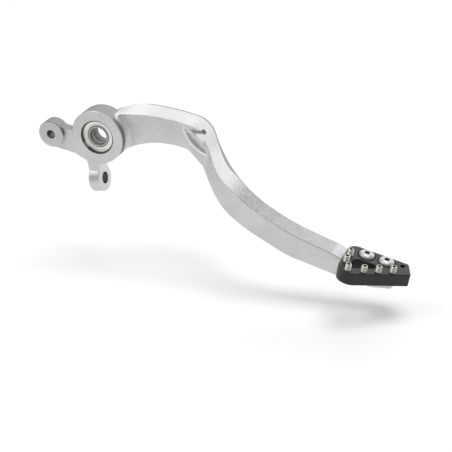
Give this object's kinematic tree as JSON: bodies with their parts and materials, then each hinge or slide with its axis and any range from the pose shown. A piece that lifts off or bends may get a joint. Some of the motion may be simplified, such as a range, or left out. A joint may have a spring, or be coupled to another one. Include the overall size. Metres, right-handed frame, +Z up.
{
  "type": "foot brake pedal",
  "caption": "Forged foot brake pedal: a cranked arm on a pivot with ball bearings, a rod lug, a spring eye and a bolted step plate with grip pins.",
  "frame": {"origin": "on the pivot axis, at the middle of the bearing pair", "axes": "+X forward from the pivot to the tip, +Y along the pivot towards the motorcycle, away from the rider's foot side, +Z up with the step plate level"},
  "size_m": [0.2709, 0.0576, 0.0714],
  "materials": {
    "satin_aluminium": "satin forged and bead blasted",
    "black_aluminium": "black anodised",
    "bolt_steel": "bright turned",
    "pin_steel": "machined",
    "bearing_steel": "ground",
    "ball_steel": "polished",
    "cage_steel": "pressed",
    "spring_steel": "phosphated"
  },
  "bodies": {
    "pedal": {"pedal_arm": "satin_aluminium", "step_plate": "black_aluminium", "plate_bolt_rear": "bolt_steel", "plate_bolt_front": "bolt_steel", "snap_ring": "spring_steel", "grip_pin_1": "pin_steel", "grip_pin_2": "pin_steel", "grip_pin_3": "pin_steel", "grip_pin_4": "pin_steel", "grip_pin_5": "pin_steel", "grip_pin_6": "pin_steel", "front_outer_ring": "bearing_steel", "front_outer_shield": "bearing_steel", "front_inner_shield": "bearing_steel", "rear_outer_ring": "bearing_steel", "rear_outer_shield": "bearing_steel", "rear_inner_shield": "bearing_steel"},
    "front_inner_race": {"front_inner_ring": "bearing_steel"},
    "front_ball_set": {"front_balls": "ball_steel", "front_cage": "cage_steel"},
    "rear_inner_race": {"rear_inner_ring": "bearing_steel"},
    "rear_ball_set": {"rear_balls": "ball_steel", "rear_cage": "cage_steel"}
  },
  "joints": [
    {"name": "front_inner_spin", "type": "hinge", "parent": "pedal", "child": "front_inner_race", "pos_m": [0, 0, 0], "axis": [0, 1, 0], "continuous": true},
    {"name": "front_cage_spin", "type": "hinge", "parent": "pedal", "child": "front_ball_set", "pos_m": [0, 0, 0], "axis": [0, 1, 0], "continuous": true},
    {"name": "rear_inner_spin", "type": "hinge", "parent": "pedal", "child": "rear_inner_race", "pos_m": [0, 0, 0], "axis": [0, 1, 0], "continuous": true},
    {"name": "rear_cage_spin", "type": "hinge", "parent": "pedal", "child": "rear_ball_set", "pos_m": [0, 0, 0], "axis": [0, 1, 0], "continuous": true}
  ],
  "couplings": [
    {"joint": "front_cage_spin", "follows": "front_inner_spin", "ratio": 0.4118},
    {"joint": "rear_cage_spin", "follows": "rear_inner_spin", "ratio": 0.4118}
  ]
}
